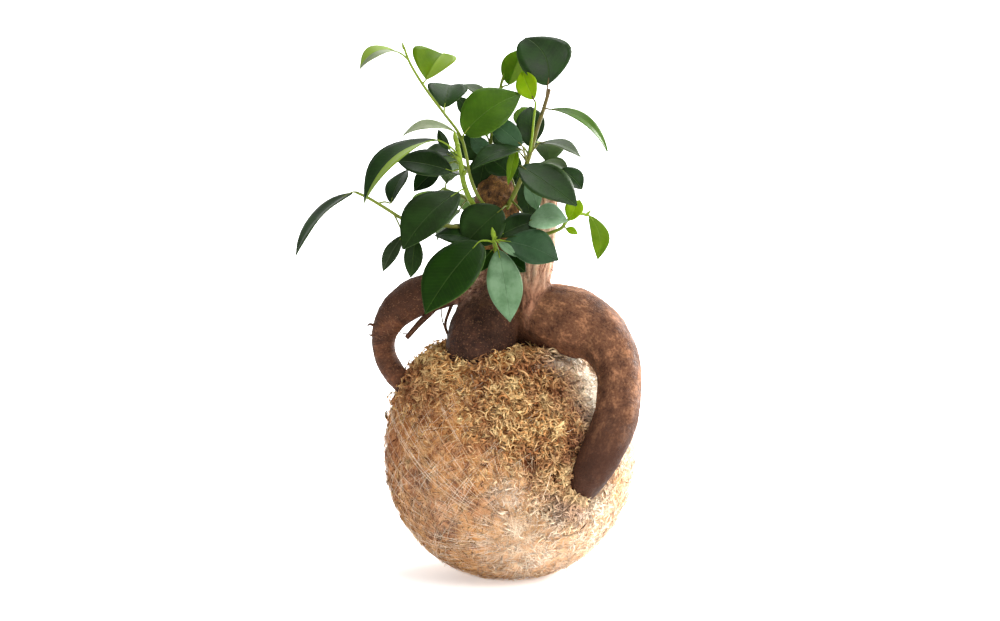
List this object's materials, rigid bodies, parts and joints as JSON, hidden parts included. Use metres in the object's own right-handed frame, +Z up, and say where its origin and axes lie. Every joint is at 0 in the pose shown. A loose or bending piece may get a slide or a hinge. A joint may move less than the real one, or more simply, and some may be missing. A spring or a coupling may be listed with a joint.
{
  "type": "kokedama moss ball plant",
  "caption": "Ficus with thick, bare, looping roots that grip a ball of dried moss wound with fine thread; stands on a small flat spot.",
  "frame": {"origin": "centre of the small flat spot under the moss ball, on the surface that it rests on", "axes": "+Z up; -Y is the front, where the thick root comes down the ball; +X is to the right seen from the front"},
  "size_m": [0.1734, 0.1354, 0.2776],
  "materials": {
    "moss": "matte",
    "soil": "matte",
    "thread": "satin",
    "bark": "matte",
    "leaf": "satin",
    "young_leaf": "satin"
  },
  "bodies": {
    "root": {"moss_cover": "moss", "soil_core": "soil", "binding_thread": "thread", "trunk_and_roots": "bark", "shoot_upper_left": "leaf", "shoot_bud": "leaf", "shoot_middle": "leaf", "shoot_upper_right": "leaf", "shoot_far_left": "leaf", "shoot_front": "leaf", "shoot_lower_right": "young_leaf", "shoot_left_back": "leaf", "shoot_back_left": "leaf", "shoot_back_right": "leaf", "shoot_back_low": "leaf"}
  },
  "joints": []
}
